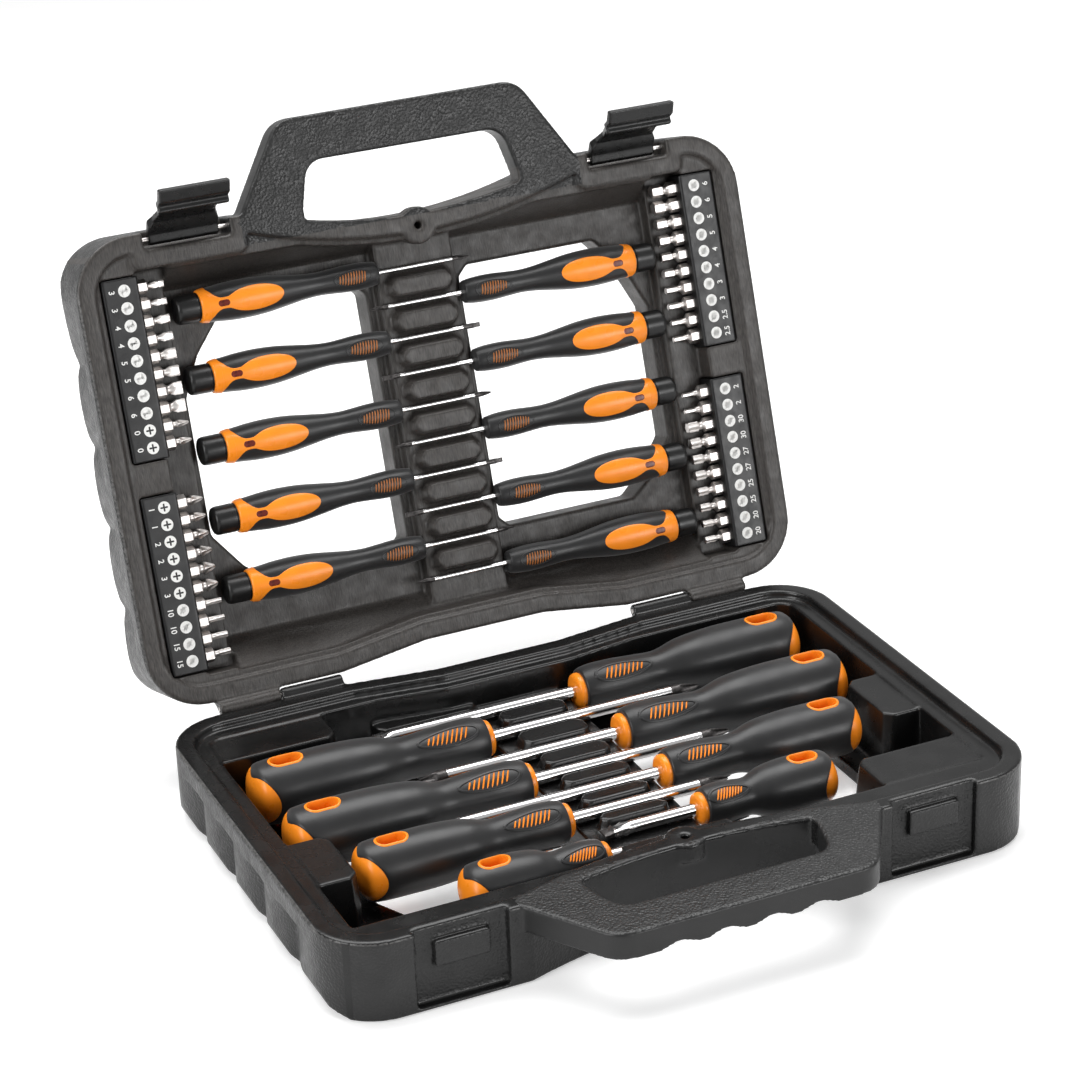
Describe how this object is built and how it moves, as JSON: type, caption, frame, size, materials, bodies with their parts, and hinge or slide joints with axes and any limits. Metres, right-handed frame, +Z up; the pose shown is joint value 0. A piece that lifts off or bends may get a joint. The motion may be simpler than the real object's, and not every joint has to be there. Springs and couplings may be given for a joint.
{
  "type": "hard tool case",
  "caption": "Hard plastic tool case with a hinged lid, two latches and a carrying handle, holding screwdrivers, precision drivers and bits in its trays.",
  "frame": {"origin": "centre of the base's flat underside", "axes": "+Z up, handle and latches towards -Y, hinge towards +Y, +X to the right seen from the front"},
  "size_m": [0.34, 0.3705, 0.2901],
  "materials": {
    "case_black": "grained black plastic",
    "latch_black": "satin black plastic",
    "pin_steel": "drawn wire",
    "holder_black": "satin black plastic with white print",
    "bit_steel": "satin nickel",
    "grip_black": "soft black grip over an orange core",
    "cap_black": "satin black plastic",
    "grip_orange": "glossy orange core",
    "print_white": "white print",
    "blade_chrome": "polished chrome, dark tip"
  },
  "bodies": {
    "base": {"base_shell": "case_black", "hinge_pins": "pin_steel"},
    "lid": {"lid_shell": "case_black", "latch_pins": "pin_steel"},
    "latch_left": {"latch_left": "latch_black"},
    "latch_right": {"latch_right": "latch_black"},
    "bit_set_left_upper": {"bit_holder_left_upper": "holder_black", "bits_left_upper": "bit_steel"},
    "bit_set_left_lower": {"bit_holder_left_lower": "holder_black", "bits_left_lower": "bit_steel"},
    "bit_set_right_upper": {"bit_holder_right_upper": "holder_black", "bits_right_upper": "bit_steel"},
    "bit_set_right_lower": {"bit_holder_right_lower": "holder_black", "bits_right_lower": "bit_steel"},
    "precision_left_1": {"precision_left_1_grip": "grip_black", "precision_left_1_blade": "blade_chrome"},
    "precision_left_1_cap": {"precision_left_1_cap": "cap_black"},
    "precision_left_2": {"precision_left_2_grip": "grip_black", "precision_left_2_blade": "blade_chrome"},
    "precision_left_2_cap": {"precision_left_2_cap": "cap_black"},
    "precision_left_3": {"precision_left_3_grip": "grip_black", "precision_left_3_blade": "blade_chrome"},
    "precision_left_3_cap": {"precision_left_3_cap": "cap_black"},
    "precision_left_4": {"precision_left_4_grip": "grip_black", "precision_left_4_blade": "blade_chrome"},
    "precision_left_4_cap": {"precision_left_4_cap": "cap_black"},
    "precision_left_5": {"precision_left_5_grip": "grip_black", "precision_left_5_blade": "blade_chrome"},
    "precision_left_5_cap": {"precision_left_5_cap": "cap_black"},
    "precision_right_1": {"precision_right_1_grip": "grip_black", "precision_right_1_blade": "blade_chrome"},
    "precision_right_1_cap": {"precision_right_1_cap": "cap_black"},
    "precision_right_2": {"precision_right_2_grip": "grip_black", "precision_right_2_blade": "blade_chrome"},
    "precision_right_2_cap": {"precision_right_2_cap": "cap_black"},
    "precision_right_3": {"precision_right_3_grip": "grip_black", "precision_right_3_blade": "blade_chrome"},
    "precision_right_3_cap": {"precision_right_3_cap": "cap_black"},
    "precision_right_4": {"precision_right_4_grip": "grip_black", "precision_right_4_blade": "blade_chrome"},
    "precision_right_4_cap": {"precision_right_4_cap": "cap_black"},
    "precision_right_5": {"precision_right_5_grip": "grip_black", "precision_right_5_blade": "blade_chrome"},
    "precision_right_5_cap": {"precision_right_5_cap": "cap_black"},
    "screwdriver_left_1": {"screwdriver_left_1_grip": "grip_black", "screwdriver_left_1_blade": "blade_chrome"},
    "screwdriver_left_2": {"screwdriver_left_2_grip": "grip_black", "screwdriver_left_2_blade": "blade_chrome"},
    "screwdriver_left_3": {"screwdriver_left_3_grip": "grip_black", "screwdriver_left_3_blade": "blade_chrome"},
    "screwdriver_left_4": {"screwdriver_left_4_grip": "grip_black", "screwdriver_left_4_blade": "blade_chrome"},
    "screwdriver_right_1": {"screwdriver_right_1_grip": "grip_black", "screwdriver_right_1_blade": "blade_chrome"},
    "screwdriver_right_2": {"screwdriver_right_2_grip": "grip_black", "screwdriver_right_2_blade": "blade_chrome"},
    "screwdriver_right_3": {"screwdriver_right_3_grip": "grip_black", "screwdriver_right_3_blade": "blade_chrome"},
    "screwdriver_right_4": {"screwdriver_right_4_grip": "grip_black", "screwdriver_right_4_blade": "blade_chrome"}
  },
  "joints": [
    {"name": "lid_hinge", "type": "hinge", "parent": "base", "child": "lid", "pos_m": [0, 0.11225, 0.0385], "axis": [-1, 0, 0], "range_deg": [-108, 0]},
    {"name": "latch_left_hinge", "type": "hinge", "parent": "lid", "child": "latch_left", "pos_m": [0, 0.188, 0.24574], "axis": [-1, 0, 0], "range_deg": [-20, 70]},
    {"name": "latch_right_hinge", "type": "hinge", "parent": "lid", "child": "latch_right", "pos_m": [0, 0.188, 0.24574], "axis": [-1, 0, 0], "range_deg": [-20, 70]},
    {"name": "bit_set_left_upper_lift", "type": "slide", "parent": "lid", "child": "bit_set_left_upper", "axis": [0, -0.9511, 0.309], "range_m": [0, 0.02]},
    {"name": "bit_set_left_lower_lift", "type": "slide", "parent": "lid", "child": "bit_set_left_lower", "axis": [0, -0.9511, 0.309], "range_m": [0, 0.02]},
    {"name": "bit_set_right_upper_lift", "type": "slide", "parent": "lid", "child": "bit_set_right_upper", "axis": [0, -0.9511, 0.309], "range_m": [0, 0.02]},
    {"name": "bit_set_right_lower_lift", "type": "slide", "parent": "lid", "child": "bit_set_right_lower", "axis": [0, -0.9511, 0.309], "range_m": [0, 0.02]},
    {"name": "precision_left_1_lift", "type": "slide", "parent": "lid", "child": "precision_left_1", "axis": [0, -0.9511, 0.309], "range_m": [0, 0.025]},
    {"name": "precision_left_1_cap_spin", "type": "hinge", "parent": "precision_left_1", "child": "precision_left_1_cap", "pos_m": [-0.111, 0.18108, 0.2115], "axis": [1, 0, 0], "continuous": true},
    {"name": "precision_left_2_lift", "type": "slide", "parent": "lid", "child": "precision_left_2", "axis": [0, -0.9511, 0.309], "range_m": [0, 0.025]},
    {"name": "precision_left_2_cap_spin", "type": "hinge", "parent": "precision_left_2", "child": "precision_left_2_cap", "pos_m": [-0.111, 0.17077, 0.17978], "axis": [1, 0, 0], "continuous": true},
    {"name": "precision_left_3_lift", "type": "slide", "parent": "lid", "child": "precision_left_3", "axis": [0, -0.9511, 0.309], "range_m": [0, 0.025]},
    {"name": "precision_left_3_cap_spin", "type": "hinge", "parent": "precision_left_3", "child": "precision_left_3_cap", "pos_m": [-0.111, 0.16047, 0.14806], "axis": [1, 0, 0], "continuous": true},
    {"name": "precision_left_4_lift", "type": "slide", "parent": "lid", "child": "precision_left_4", "axis": [0, -0.9511, 0.309], "range_m": [0, 0.025]},
    {"name": "precision_left_4_cap_spin", "type": "hinge", "parent": "precision_left_4", "child": "precision_left_4_cap", "pos_m": [-0.111, 0.15016, 0.11635], "axis": [1, 0, 0], "continuous": true},
    {"name": "precision_left_5_lift", "type": "slide", "parent": "lid", "child": "precision_left_5", "axis": [0, -0.9511, 0.309], "range_m": [0, 0.025]},
    {"name": "precision_left_5_cap_spin", "type": "hinge", "parent": "precision_left_5", "child": "precision_left_5_cap", "pos_m": [-0.111, 0.13986, 0.08463], "axis": [1, 0, 0], "continuous": true},
    {"name": "precision_right_1_lift", "type": "slide", "parent": "lid", "child": "precision_right_1", "axis": [0, -0.9511, 0.309], "range_m": [0, 0.025]},
    {"name": "precision_right_1_cap_spin", "type": "hinge", "parent": "precision_right_1", "child": "precision_right_1_cap", "pos_m": [0.111, 0.17592, 0.19562], "axis": [1, 0, 0], "continuous": true},
    {"name": "precision_right_2_lift", "type": "slide", "parent": "lid", "child": "precision_right_2", "axis": [0, -0.9511, 0.309], "range_m": [0, 0.025]},
    {"name": "precision_right_2_cap_spin", "type": "hinge", "parent": "precision_right_2", "child": "precision_right_2_cap", "pos_m": [0.111, 0.16561, 0.1639], "axis": [1, 0, 0], "continuous": true},
    {"name": "precision_right_3_lift", "type": "slide", "parent": "lid", "child": "precision_right_3", "axis": [0, -0.9511, 0.309], "range_m": [0, 0.025]},
    {"name": "precision_right_3_cap_spin", "type": "hinge", "parent": "precision_right_3", "child": "precision_right_3_cap", "pos_m": [0.111, 0.15531, 0.13218], "axis": [1, 0, 0], "continuous": true},
    {"name": "precision_right_4_lift", "type": "slide", "parent": "lid", "child": "precision_right_4", "axis": [0, -0.9511, 0.309], "range_m": [0, 0.025]},
    {"name": "precision_right_4_cap_spin", "type": "hinge", "parent": "precision_right_4", "child": "precision_right_4_cap", "pos_m": [0.111, 0.145, 0.10046], "axis": [1, 0, 0], "continuous": true},
    {"name": "precision_right_5_lift", "type": "slide", "parent": "lid", "child": "precision_right_5", "axis": [0, -0.9511, 0.309], "range_m": [0, 0.025]},
    {"name": "precision_right_5_cap_spin", "type": "hinge", "parent": "precision_right_5", "child": "precision_right_5_cap", "pos_m": [0.111, 0.1347, 0.06875], "axis": [1, 0, 0], "continuous": true},
    {"name": "screwdriver_left_1_lift", "type": "slide", "parent": "base", "child": "screwdriver_left_1", "axis": [0, 0, 1], "range_m": [0, 0.04]},
    {"name": "screwdriver_left_2_lift", "type": "slide", "parent": "base", "child": "screwdriver_left_2", "axis": [0, 0, 1], "range_m": [0, 0.04]},
    {"name": "screwdriver_left_3_lift", "type": "slide", "parent": "base", "child": "screwdriver_left_3", "axis": [0, 0, 1], "range_m": [0, 0.04]},
    {"name": "screwdriver_left_4_lift", "type": "slide", "parent": "base", "child": "screwdriver_left_4", "axis": [0, 0, 1], "range_m": [0, 0.04]},
    {"name": "screwdriver_right_1_lift", "type": "slide", "parent": "base", "child": "screwdriver_right_1", "axis": [0, 0, 1], "range_m": [0, 0.04]},
    {"name": "screwdriver_right_2_lift", "type": "slide", "parent": "base", "child": "screwdriver_right_2", "axis": [0, 0, 1], "range_m": [0, 0.04]},
    {"name": "screwdriver_right_3_lift", "type": "slide", "parent": "base", "child": "screwdriver_right_3", "axis": [0, 0, 1], "range_m": [0, 0.04]},
    {"name": "screwdriver_right_4_lift", "type": "slide", "parent": "base", "child": "screwdriver_right_4", "axis": [0, 0, 1], "range_m": [0, 0.04]}
  ]
}
